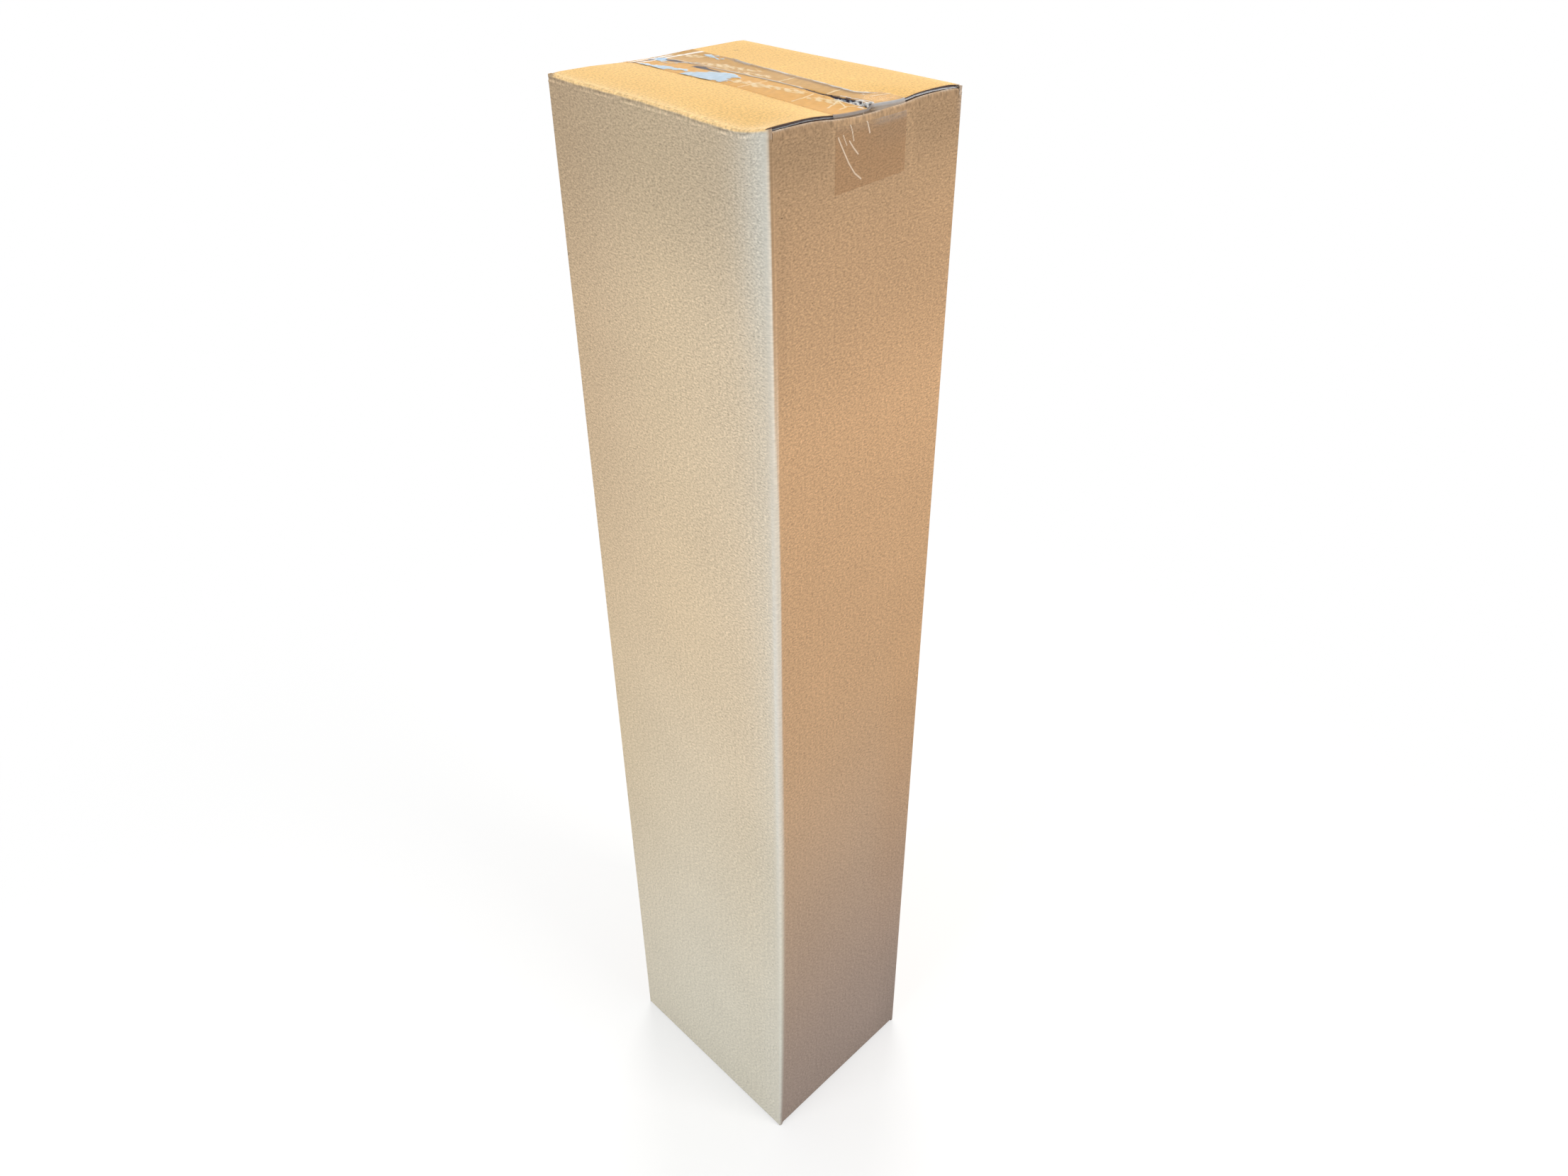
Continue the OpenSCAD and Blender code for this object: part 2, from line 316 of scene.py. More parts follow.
columns = blank_columns()
rows = np.concatenate([
    np.linspace(BOTTOM_END, R_OUT - ELBOW, 14),
    [1.6, SLOT_BOTTOM, 3.6, 4.6, 5.6, 6.6, 7.6, BEND_BOTTOM, 12.0, 18.0],
    np.linspace(26, 1040, 88),
    np.linspace(1045, 1088, 10),
    [1091.0, BEND_TOP, 1093.9, 1094.4, 1094.75, 1095.1, 1095.45, 1095.8, 1096.3, 1096.7, 1097.1],
    np.linspace(HEIGHT - R_OUT, HEIGHT - R_OUT + ELBOW, 13),
    [1102.4, 1104.0],
    np.linspace(1106.4, TOP_END - 1.5, 34),
    [TOP_END],
])
n_col, n_row = len(columns), len(rows)
kind, wall_of, c_of, centre_of, angle_of = (np.array(part) for part in zip(*columns))
on_arc = np.isin(kind, ["arc", "hinge"]).astype(float)
v_of = np.broadcast_to(rows, (n_col, n_row))


def by_column(values):
    """The columns' values over all rows."""
    return np.broadcast_to(values[:, None], (n_col, n_row) + values.shape[1:])


def path_places():
    """How far along the blank each column lies, for the pattern of the board."""
    p = place(wall_of, c_of, np.full(n_col, HEIGHT / 2), BOARD / 2, (centre_of, angle_of, on_arc))
    p[kind == "tab", 0] = HALF_X - 1.5 * BOARD
    return np.concatenate([[0], np.cumsum(np.linalg.norm(np.diff(p[:, :2], axis=0), axis=1))])


def grid(depth):
    """The surface at this depth in the board, over all columns and rows."""
    wall, c, post = by_column(wall_of), by_column(c_of), by_column(kind == "flat")
    deep = np.full(c.shape, float(depth))
    ring = by_column(centre_of), by_column(angle_of), by_column(on_arc)
    p = place(wall, c, v_of, deep, ring, post)
    # The tab lies behind the last wall, and gets shorter towards its free edge
    tab = kind == "tab"
    share = np.clip((rows - BEND_BOTTOM) / (BEND_TOP - BEND_BOTTOM), 0, 1)
    short = (TAB_SLANT * (FLAT_Y - c_of[tab]) / TAB)[:, None]
    low, high = BEND_BOTTOM + short, BEND_TOP - short
    p[tab, :, 0] = HALF_X - BOARD - depth
    p[tab, :, 1] = c_of[tab, None]
    p[tab, :, 2] = low + (high - low) * share
    return finish_board(p, wall, v_of, deep, post)


def in_blank(i, j):
    """True if the blank has board between columns i, i + 1 and rows j, j + 1."""
    v = (rows[j] + rows[j + 1]) / 2
    pair = {kind[i], kind[i + 1]}
    upright = BEND_BOTTOM < v < BEND_TOP
    corner = SLOT_BOTTOM < v < SLOT_TOP
    if "tab" in pair or pair in ({"inner", "flat"}, {"inner", "hinge"}):
        return upright
    if pair in ({"inner"}, {"outer"}):
        return True
    if pair == {"hinge"} or "raw" in pair or "flat" in pair:
        return corner
    # Round a vertical fold the outer flap reaches as far as its edge column
    reach = max(abs(c_of[i]), abs(c_of[i + 1]))
    return corner or reach < FLAP_END + 0.01


s_of = path_places()
outer_grid, inner_grid = grid(0.0), grid(BOARD)
present = np.array([[in_blank(i, j) for j in range(n_row - 1)] for i in range(n_col - 1)])
used = np.zeros((n_col, n_row), bool)
for i, j in zip(*np.nonzero(present)):
    used[i : i + 2, j : j + 2] = True


def rgb(*parts):
    return np.array(parts)


# Colours of the paper
KRAFT = rgb(0.56, 0.39, 0.235)
# TOP_TONE holds the light from above as painted light, and TOP_EDGE_LIGHT paints more of it near the left
# long fold
TOP_TONE = rgb(0.795, 0.505, 0.186)
TOP_EDGE_LIGHT = rgb(0.9, 0.625, 0.31)
RIGHT_TOP = TOP_TONE * rgb(0.96, 0.935, 0.87)
RIGHT_CORNER = rgb(0.6, 0.53, 0.48)
# PIT_SHADE is painted shade in the open flutes of the cut edges
PIT_SHADE = rgb(0.085, 0.06, 0.055)
FLUTE = rgb(0.4, 0.31, 0.22)
# FLUTE_SHEEN is a painted grey-blue sheen on the flutes in the top cut edges
FLUTE_SHEEN = rgb(0.42, 0.43, 0.46)
LEFT_TONE = rgb(0.61, 0.488, 0.342)
LEFT_LOW = rgb(0.6, 0.56, 0.47)
LEFT_FAR = rgb(0.55, 0.415, 0.262)
# LEFT_NEAR is a painted sheen near the near fold, and LEFT_SHINE a painted highlight beside it
LEFT_NEAR = rgb(0.585, 0.56, 0.49)
LEFT_SHINE = rgb(0.66, 0.65, 0.61)
FRONT_TONE = rgb(0.59, 0.366, 0.202)
# FRONT_LOW is the painted shade of the lower front wall, and FRONT_FOLD_SHEEN a painted sheen on its top
# fold
FRONT_LOW = rgb(0.415, 0.322, 0.272)
FRONT_FOLD_SHEEN = rgb(0.5, 0.44, 0.39)
FRONT_CORNER = rgb(0.58, 0.49, 0.43)
# The near fold's pale strip, a painted highlight on the rounded fold: its reach over the front wall, how
# softly it ends, its colour
STRIP_Z = [0, 50, 150, 300, 450, 600, 750, 830, 900, 950, 1000, 1060, 1095]
STRIP_END = [2.0, 3.5, 5.0, 6.5, 7.3, 7.0, 7.0, 6.0, 2.9, 2.8, 2.6, 1.5, 1.2]
STRIP_SOFT = [6, 6, 7, 7, 6, 3, 2, 2.5, 1.4, 1.2, 1.2, 1.0, 1.0]
STRIP_TONE = np.array([
    [0.66, 0.63, 0.57], [0.7, 0.67, 0.6], [0.75, 0.74, 0.65], [0.8, 0.755, 0.635],
    [0.79, 0.72, 0.61], [0.71, 0.64, 0.55], [0.7, 0.63, 0.53],
])
LIGHT_LINE = [(750, 6.5), (1000, 5.7), (1095, 4.9)]  # A painted highlight along a crease beside the near fold: height, place


def mix(a, b, t):
    return a + (np.asarray(b) - a) * np.asarray(t)[..., None]


def dim(colour, t, part=(1, 1, 1)):
    """Takes a part of red, green and blue away, by a share for each place."""
    return colour * (1 - np.asarray(t)[..., None] * np.array(part))


def left_paper(p, v, c):
    """The left wall: greyer below, browner towards the back, darker near the top as painted shade, and
    paler at the near fold as a painted sheen.
    """
    y, z = p[..., 1], p[..., 2]
    near = HALF_Y - c
    away = near / DEPTH
    low = rise(z, 700, 0)
    tone = mix(LEFT_TONE, LEFT_LOW, low)
    tone = dim(tone, rise(z, 350, 0), (0.06, 0.07, 0.1))
    tone = mix(tone, LEFT_FAR, rise(away, 0.35, 1.35) * (1 - 0.8 * low))
    tone = dim(tone, rise(away, 0.45, 1) * rise(z, 450, 900), (0.09, 0.14, 0.17))
    tone = dim(tone, hump(away, 0.5, 0.28) * rise(z, 450, 700), (0.02, 0.05, 0.1))
    # Painted shade near the top of the wall
    tone = dim(tone, rise(z, 930, 1070), (0.17, 0.17, 0.17))
    # A painted sheen near the near fold, and a painted highlight just beside it
    tone = mix(tone, LEFT_NEAR, hump(near, 0, 26) * (0.4 + 0.5 * rise(z, 880, 1060)))
    tone = mix(tone, LEFT_SHINE, 0.6 * hump(near, 0, 6) * hump(z, 600, 260))
    tone = dim(tone, hump(z, 380, 190), (0.07, 0.07, 0.09))
    # The crushed line: painted shade in its crease above, and a painted highlight on its ridge below
    line = crush_line(LEFT, y) + 0.33
    uneven_light = (0.65 + 0.7 * wobble(y, v, 31, 32)).clip(0.1)
    tone = dim(tone, 0.34 * uneven_light * hump(v, line, 0.3))
    tone = dim(tone, -0.4 * uneven_light * hump(v, line - 1.0, 0.42))
    return dim(tone, 0.05 * hump(v, line - 2.6, 0.8))


def front_strip(z, off):
    """The near fold's pale strip on the front wall, a painted highlight, and how much of it shows."""
    end, soft = np.interp(z, STRIP_Z, STRIP_END), np.interp(z, STRIP_Z, STRIP_SOFT)
    strip = np.stack([np.interp(z, STRIP_Z[:7], STRIP_TONE[:, k]) for k in range(3)], -1)
    # Painted shade near the top, and a painted highlight near the strip's end
    strip = dim(strip, 0.2 * rise(z, 1076, 1090))
    strip = dim(strip, -0.08 * rise(z, 500, 600) * hump(off, end - 1.3, 1.0))
    return strip, rise(off, end + soft / 2, end - soft / 2)


def front_paper(p, v):
    """The front wall: painted shade below and near the top, painted highlights at the near fold and the
    top fold, and darker beside the tape near the top.
    """
    x, z = p[..., 0], p[..., 2]
    off = x + HALF_X
    # Painted shade: darker and greyer towards the bottom
    tone = mix(FRONT_TONE, FRONT_LOW, rise(z, 620, 0))
    tone = tone + (hump(z, 400, 200) * rise(x, 80, 20))[..., None] * [0.008, 0.024, 0.03]
    # Painted shade near the top
    tone = dim(tone, rise(z, 850, 1010), (0.19, 0.17, 0.15))
    tone = dim(tone, rise(z, 1000, 1080), (0.14, 0.12, 0.11))
    tone = dim(tone, 0.12 * rise(x, 50, 95) * rise(z, 200, 0))
    tone = dim(tone, 0.13 * rise(np.abs(x - 0.5), 36, 45) * rise(z, 1050, 1085))
    tone = mix(tone, FRONT_CORNER, 0.55 * hump(x, HALF_X + 1, 4) * rise(z, 1070, 1090))
    # Painted shade in a narrow strip beside the near fold, and a painted highlight along the crease beyond
    # it
    tone = dim(tone, 0.12 * rise(z, 940, 1000) * hump(off, 3.6, 1.3))
    tone = dim(tone, -0.19 * rise(z, 780, 860) * hump(off, follow(z, LIGHT_LINE), 0.6))
    tone = dim(tone, 0.06 * hump(z, 985, 75) * hump(off, 10.5, 5))
    tone = dim(tone, -0.14 * hump(x, SCUFF_X, 0.9) * rise(z, 1045, 1051))
    # A painted sheen on the top fold, uneven along it
    uneven_light = (0.45 + 0.4 * wobble(x, 0, 30, 33)).clip(0, 1)
    tone = mix(tone, FRONT_FOLD_SHEEN, uneven_light * rise(v, 1094.6, 1095.4))
    strip, share = front_strip(z, off)
    # More of the painted highlight about 885 mm up
    tone = mix(tone, strip, 0.42 * hump(z, 885, 55) * rise(off, 7.3, 6.3))
    return mix(tone, strip, share)


def paper(p, v, wall, c):
    """Colour of the outer paper: each side has its own tone, partly the paper's own colour and partly
    painted light and shade for how the light falls on that side.
    """
    x, y = p[..., 0], p[..., 1]
    left, front, right = wall == LEFT, wall == FRONT, wall == RIGHT
    tone = np.broadcast_to(KRAFT, p.shape)
    tone = np.where(left[..., None], left_paper(p, v, c), tone)
    tone = np.where(front[..., None], front_paper(p, v), tone)
    tone = mix(tone, RIGHT_CORNER, 0.8 * right * rise(v, 1080, 1095) * rise(y, -90, -105))
    # The flaps carry the top's yellow, the light from above painted in, from the long folds on, and from a
    # little further at two corners
    late = 2.6 * rise(y, 109, 114) * left + 2.6 * rise(y, -107, -113) * right
    over = rise(v - late - 0.15 * wobble(y, 0, 45, 31), 1098.6, 1099.15)
    # Painted light: the left flap is paler near its long fold, to lift the shade on the fold
    left_top = mix(np.broadcast_to(TOP_TONE, p.shape), TOP_EDGE_LIGHT, 0.9 * np.exp(-(v - 1100.5).clip(0) / 5))
    right_top = RIGHT_TOP
    for start, end, at, _, change in SCRATCHES:
        right_top = dim(right_top, -change * hump(near_line(x, y, [(start, at), (end, at)]), 0, 0.7))
    tone = mix(tone, left_top, over * left)
    return mix(tone, right_top, over * right)


def blank_tones():
    """Colours over all columns and rows. A vertical fold passes from one wall's to the next one's."""
    flat = paper(outer_grid, v_of, by_column(wall_of), by_column(c_of))
    quarter = by_column(angle_of / (math.pi / 2))
    first = np.floor(quarter).astype(int) - 1
    end = np.where(first == LEFT, HALF_Y, HALF_X)
    start = np.where(first + 1 == LEFT, -HALF_Y, -HALF_X)
    turn = quarter % 1
    share = np.where(first == LEFT, rise(turn, 0.15, 0.75), rise(turn, 0.42, 0.62))
    before, after = paper(outer_grid, v_of, first, end), paper(outer_grid, v_of, first + 1, start)
    on_fold = by_column(kind == "arc") & (v_of > SLOT_BOTTOM - 0.1) & (v_of < SLOT_TOP + 0.1)
    return np.where(on_fold[..., None], mix(before, after, share), flat)


# The board's mesh: two papers, cut edges and the flutes that stand open in them
verts, faces, tones, places = [], [], [], []
index = np.full((2, n_col, n_row), -1)
rim = {}
toned = blank_tones()


def add(p, tone, uv):
    verts.append(p)
    tones.append(tone)
    places.append(uv)
    return len(verts) - 1


def has_board(i, j):
    return 0 <= i < n_col - 1 and 0 <= j < n_row - 1 and present[i, j]


def near_slot(v):
    return min(abs(v - SLOT_TOP), abs(v - SLOT_BOTTOM)) < 1.0


def way_in(i, j):
    """The way from a point of a cut edge into the board."""
    here = (outer_grid[i, j] + inner_grid[i, j]) / 2
    cells = [cell for cell in ((i - 1, j - 1), (i, j - 1), (i - 1, j), (i, j)) if has_board(*cell)]
    way = np.zeros(3)
    for axis, side in ((0, 1), (0, -1), (1, 1), (1, -1)):
        other = (i + side, j) if axis == 0 else (i, j + side)
        if not (0 <= other[0] < n_col and 0 <= other[1] < n_row) or not used[other]:
            continue
        # Only away from an open side
        towards = (i, j)[axis] - (side < 0)
        if cells and all(cell[axis] == towards for cell in cells):
            onward = (outer_grid[other] + inner_grid[other]) / 2 - here
            way += onward / (np.linalg.norm(onward) + 1e-9)
    return way


def rim_points(i, j):
    """The four points of the cut edge between the two papers, with its flutes standing open; the pits are
    painted darker as shade, near black where the flutes stand open.
    """
    if (i, j) in rim:
        return rim[i, j]
    v = rows[j]
    flap = wall_of[i] in (LEFT, RIGHT) and kind[i] in ("outer", "arc")
    flap_edge = flap and (v > SLOT_TOP + 0.5 or v < SLOT_BOTTOM - 0.5)
    raw_edge = kind[i] == "raw" and not near_slot(v)
    deep, lip, pit = 0.05, KRAFT * 0.9, KRAFT * 0.8
    if flap_edge or raw_edge:
        deep, pit = OPEN, PIT_SHADE
    if near_slot(v):
        lip, pit = toned[i, j] * 0.95, toned[i, j] * 0.8
    outer, inner = outer_grid[i, j], inner_grid[i, j]
    liner = (inner - outer) * LINER / BOARD
    into = way_in(i, j) * deep
    uv = (s_of[i], v)
    rim[i, j] = (
        add(outer + liner, lip, uv),
        add(outer + liner + into, pit, uv),
        add(inner - liner + into, pit, uv),
        add(inner - liner, lip, uv),
    )
    return rim[i, j]


def add_papers():
    for i, j in zip(*np.nonzero(used)):
        uv = (s_of[i], rows[j])
        index[0, i, j] = add(outer_grid[i, j], toned[i, j], uv)
        index[1, i, j] = add(inner_grid[i, j], KRAFT * 0.85, uv)


def add_faces():
    """Faces of both papers, and of the cut edge where there is no board beyond."""
    for i, j in zip(*np.nonzero(present)):
        corners = ((i, j), (i + 1, j), (i + 1, j + 1), (i, j + 1))
        faces.append(tuple(index[0][at] for at in corners))
        faces.append(tuple(index[1][at] for at in reversed(corners)))
        beyond = ((i, j - 1), (i + 1, j), (i, j + 1), (i - 1, j))
        for a, b, other in zip(corners, corners[1:] + corners[:1], beyond):
            if has_board(*other):
                continue
            chain_a = (index[0][a], *rim_points(*a), index[1][a])
            chain_b = (index[0][b], *rim_points(*b), index[1][b])
            for k in range(5):
                faces.append((chain_b[k], chain_a[k], chain_a[k + 1], chain_b[k + 1]))


def board_points(wall, c, v, depth):
    """Settled points of the board by their places."""
    c, v, depth = (np.asarray(value, float) for value in np.broadcast_arrays(c, v, depth))
    walls = np.full(c.shape, wall)
    return finish_board(place(walls, c, v, depth), walls, v, depth)


def ribbon(wall, c, v, depth, into, half, tone):
    """A strip of the wavy paper in an open cut edge: a thin closed band along a line of places.
    into is its way into the board, as a change of c and v."""
    c, v = np.broadcast_arrays(c, v)
    ring = []
    for shift, deep in ((0.0, -half), (0.0, half), (1.0, half), (1.0, -half)):
        ring.append(board_points(wall, c + into[0] * shift, v + into[1] * shift, depth + deep))
    start, n = len(verts), len(c)
    for k in range(n):
        for side in range(4):
            add(ring[side][k], tone, (c[k], v[k]))
    for k in range(n - 1):
        for side in range(4):
            a, b = start + 4 * k + side, start + 4 * k + (side + 1) % 4
            faces.append((a, b, b + 4, a + 4))
    faces.append((start + 3, start + 2, start + 1, start))
    end = start + 4 * (n - 1)
    faces.append((end, end + 1, end + 2, end + 3))


def add_seam_flutes(wall, end, way):
    """Across the flutes, in a flap's edge at the seam."""
    c = np.arange(-FLAP_END + 2, FLAP_END - 2, PITCH / 10)
    wave = BOARD / 2 + 1.25 * np.cos(2 * np.pi * c / PITCH + wall)
    ribbon(wall, c, end + way * 0.15, wave, (0.0, way * (OPEN - 0.05)), 0.2, FLUTE)


def add_side_flute(wall, side, way):
    """Along a flute, in a flap's edge over an end wall; at the top it carries a painted grey-blue sheen.
    """
    v = np.linspace(1100.4, TOP_END - 2.5, 60)
    tone, half = FLUTE_SHEEN, 0.42
    if wall == LEFT and side > 0:
        tone, half = FLUTE_SHEEN * 0.7, 0.22
    if way > 0:
        v, tone = HEIGHT - v, FLUTE
    line = BOARD / 2 + 0.55 * wobble(v, 0, 120, 40 + wall + side) + 0.12 * wobble(v, 0, 9, 50 + side)
    ribbon(wall, side * (FLAP_END - 0.2), v, line, (-side * (OPEN - 0.25), 0.0), half, tone)


def add_raw_flute():
    """Along a flute, in the last wall's free edge."""
    v = np.linspace(SLOT_BOTTOM + 2.5, SLOT_TOP - 2.5, 80)
    line = BOARD / 2 + 0.7 * wobble(v, 0, 400, 61)
    ribbon(RIGHT, RAW_END - 0.2, v, line, (-(OPEN - 0.25), 0.0), 0.3, FLUTE)


def add_flutes():
    for wall in (LEFT, RIGHT):
        for end, way in ((TOP_END, -1.0), (BOTTOM_END, 1.0)):
            add_seam_flutes(wall, end, way)
            for side in (-1, 1):
                add_side_flute(wall, side, way)
    add_raw_flute()


def put(name, data):
    obj = bpy.data.objects.new(name, data)
    bpy.context.scene.collection.objects.link(obj)
    return obj


def make_mesh(name, points, polygons, uv, colours, sharp=None):
    """A smooth object, with its places on the blank as UV and its looks as attributes."""
    mesh = bpy.data.meshes.new(name)
    mesh.from_pydata([tuple(p * MM) for p in np.asarray(points, float)], [], polygons)
    mesh.polygons.foreach_set("use_smooth", [True] * len(mesh.polygons))
    loops = np.zeros(len(mesh.loops), int)
    mesh.loops.foreach_get("vertex_index", loops)
    layer = mesh.uv_layers.new(name="blank")
    layer.data.foreach_set("uv", (np.asarray(uv, float)[loops] * MM).ravel())
    for key, value in colours.items():
        value = np.asarray(value, float)
        if value.ndim == 1:
            layer = mesh.attributes.new(key, "FLOAT", "POINT")
            layer.data.foreach_set("value", value)
        else:
            rgba = np.concatenate([value, np.ones((len(value), 1))], 1)
            layer = mesh.attributes.new(key, "FLOAT_COLOR", "POINT")
            layer.data.foreach_set("color", rgba.ravel())
    if sharp:
        mesh.set_sharp_from_angle(angle=math.radians(sharp))
    mesh.validate()
    mesh.update()
    return put(name, mesh)


add_papers()
add_faces()
add_flutes()
carton = make_mesh("board", verts, faces, places, {"tone": tones}, sharp=40)

# The tape
GAP = 0.15  # From the board to the film
TAPE_WIDTH = 72.0
FRONT_TAIL, BACK_TAIL = 54.0, 50.0
SKEW = 5.5  # How much further right the strip lies at the back
# The tuck along the right and the pull along the left: (y, how much the film loses there)
TUCK = [
    (-117.5, 0), (-93.5, 0), (-81.5, 14), (-57.5, 14.4), (-18, 13.4), (1, 11), (19, 9.5), (36, 8.5),
    (48, 6.8), (63, 2.6), (99, 1.7), (117.5, 0.8),
]
PULL = [
    (-117.5, 0), (-53, 0.2), (-26, 1.9), (0, 2.7), (26, 1.1), (45, 0.7), (61, 1.3), (79, 2.0),
    (95, 3.2), (103, 4.4), (109, 3.4), (114.5, 0.5),
]
PULL_WIDTH = 20.0
# The edge of the tucked margin, from the back to the front
TUCK_LINE = [
    (39.4, 88), (37.9, 62), (33.4, 48), (31.1, 36), (29.5, 18), (27.6, 0), (24.6, -18), (23.2, -40),
    (22.0, -57), (21.4, -82), (27, -91),
]


def tape_path(tail, size):
    """(distance inwards from the end wall, height, share of the way down the tail) over one end."""
    run, climb = FLAP_INSET - R_OUT, HEIGHT - BEND_TOP
    path = [(-GAP, BEND_TOP, t) for t in np.linspace(1, 0, round((tail - climb) / size))]
    # Round the fold, as far as the film touches it, and straight on to the flap's cut edge
    leave = math.atan2(climb, run) + math.acos(R_OUT / math.hypot(run, climb))
    radius = R_OUT + GAP
    for k in (3, 2, 1, 0):
        turn = leave + (math.pi - leave) * k / 4
        path.append((R_OUT + radius * math.cos(turn), BEND_TOP + radius * math.sin(turn), 0))
    last = path[-1]
    flap = (FLAP_INSET - GAP, HEIGHT + 0.02)
    for t in np.linspace(0, 1, 8)[1:]:
        path.append((last[0] + (flap[0] - last[0]) * t, last[1] + (flap[1] - last[1]) * t, 0))
    return path


def tape_grid():
    """Places over the plain film: x, y, z, and 1 over the front wall, -1 over the back one, else 0."""
    path = [(-HALF_Y + d, z, t, 1) for d, z, t in tape_path(FRONT_TAIL, 0.65)]
    path += [(y, HEIGHT + GAP, 0, 0) for y in np.linspace(-FLAP_END + 0.4, FLAP_END - 0.4, 270)]
    path += [(HALF_Y - d, z, t, -1) for d, z, t in reversed(tape_path(BACK_TAIL, 1.6))]
    across = np.linspace(0, TAPE_WIDTH, 106)
    y, z, tail, end = (part[:, None] + 0 * across for part in np.array(path).T)
    u = across + 0 * y
    skew = SKEW * (np.clip(y, -FLAP_END, FLAP_END) + FLAP_END) / (2 * FLAP_END)
    tuck = follow(y, TUCK) * (z > HEIGHT)
    pull = follow(y, PULL) * (z > HEIGHT) * (u < PULL_WIDTH)
    x = skew - TAPE_WIDTH / 2 + u * (TAPE_WIDTH - tuck) / TAPE_WIDTH + pull * (1 - u / PULL_WIDTH)
    # The torn ends: the front one slants, and both are a little jagged
    front_end = HEIGHT - FRONT_TAIL + 3.5 * u / TAPE_WIDTH + 0.35 * wobble(x, 0, 7, 72)
    back_end = HEIGHT - BACK_TAIL + 0.5 * wobble(x, 0, 9, 73)
    torn = np.where(end > 0, front_end, back_end)
    return x, y, np.where(tail > 0, BEND_TOP - (BEND_TOP - torn) * tail, z), end


px, py, pz, over_end = tape_grid()
at_front, at_back, on_top = over_end > 0, over_end < 0, pz > HEIGHT + GAP / 2
on_wall = pz < BEND_TOP + 0.01
rag_x, rag_y = 2.5 * wobble(px, py, 12, 81, 4), 2.5 * wobble(px, py, 12, 82, 4)


def look(red, green, blue, cover):
    """A colour of the film, and how much of the board it covers."""
    return rgb(red, green, blue), cover


WET = look(0.787, 0.455, 0.141, 0.62)
WET_RIGHT, WET_BACK = rgb(0.634, 0.403, 0.167), rgb(0.56, 0.32, 0.08)
AIR = look(0.81, 0.67, 0.43, 0.85)
LOOSE = look(0.8, 0.58, 0.34, 0.35)
# SKY_REFLECTION and DEEP_SKY_REFLECTION are painted reflections of the sky on the film
SKY_REFLECTION = look(0.45, 0.575, 0.7, 0.93)
DEEP_SKY_REFLECTION = look(0.34, 0.52, 0.74, 0.95)
HAIR = look(0.86, 0.77, 0.57, 0.9)
# GLINT to PALE_BLUE_GLINT are painted highlights on the film
GLINT = look(0.97, 0.83, 0.67, 0.96)
WHITE_GLINT = look(0.78, 0.79, 0.8, 0.92)
BRIGHT_GLINT = look(0.93, 0.94, 0.95, 0.95)
PALE_BLUE_GLINT = look(0.8, 0.82, 0.88, 0.9)
GREY = look(0.33, 0.34, 0.37, 0.55)
SMOKE = look(0.36, 0.33, 0.32, 0.55)
# GAP_SHADE is painted shade where the seam stands open below the film
GAP_SHADE = look(0.045, 0.038, 0.055, 0.93)
SHADOW = look(0.1, 0.06, 0.065, 0.95)
SEAM_LIP = look(0.7, 0.66, 0.6, 0.8)
TUCK_SHADE = look(0.3, 0.215, 0.15, 0.7)
TUCK_FOLD = look(0.55, 0.52, 0.5, 0.85)
TUCK_FRONT = look(0.62, 0.42, 0.24, 0.7)
WALL_WET = look(0.5, 0.295, 0.155, 0.33)
WALL_SHADE = look(0.36, 0.25, 0.17, 0.36)
BRIDGE = look(0.43, 0.315, 0.22, 0.32)
BRIDGE_RIGHT = look(0.5, 0.43, 0.37, 0.58)
BRIDGE_GLOSS_LINE = look(0.46, 0.49, 0.55, 0.8)
BRIDGE_SHINE = look(0.66, 0.7, 0.76, 0.5)


# The film where it sticks is browner to the right, and most so at the back
wet_tone = mix(np.broadcast_to(WET[0], px.shape + (3,)), WET_RIGHT, rise(px, -2, 6))
wet_tone = mix(wet_tone, WET_BACK, rise(px, 6, 28) * rise(py, -20, 20))
film = {"tone": wet_tone, "cover": np.full(px.shape, WET[1]), "lift": np.zeros(px.shape)}


def coat(mask, laid, height=0.0):
    """Lays one look over the film where mask says, and lifts the film there."""
    share = np.clip(mask, 0, 1)
    film["tone"] = mix(film["tone"], laid[0], share)
    film["cover"] = film["cover"] * (1 - share) + laid[1] * share
    film["lift"] = film["lift"] + height * share


def within(points, ragged=True):
    """How far inside an outline each place of the film lies; less than 0 outside it."""
    x, y = (px + rag_x, py + rag_y) if ragged else (px, py)
    d = near_line(x, y, points + points[:1])
    return np.where(inside(x, y, points), d, -d)


def blob(points, laid, height, soft=1.2, ragged=True):
    coat(rise(within(points, ragged), -soft / 2, soft / 2) * on_top, laid, height)


def crease(points, width, laid, height=0.25):
    d = near_line(px + 0.12 * rag_x, py + 0.12 * rag_y, points)
    coat(hump(d, 0, width) * on_top, laid, height)


def trapped_air():
    """Air under the film, in pale patches."""
    speck = step(1.1 * wobble(px, 0.6 * py, 5, 83, 4) + 0.85)
    for points in (
        [(4, 64), (9, 66), (15, 44), (19, 12), (13, 10), (8, 30)],
        [(-23, 0), (-16, 4), (-11, -22), (-6, -60), (-13, -62), (-19, -30)],
        [(12, 104), (20, 106), (28, 84), (22, 80)],
        [(2, 20), (6, 22), (11, -8), (6, -10)],
        [(-18, -74), (-8, -72), (-4, -92), (-12, -96)],
    ):
        coat(0.85 * rise(within(points), -1.75, 1.75) * on_top * speck, AIR, 0.15)


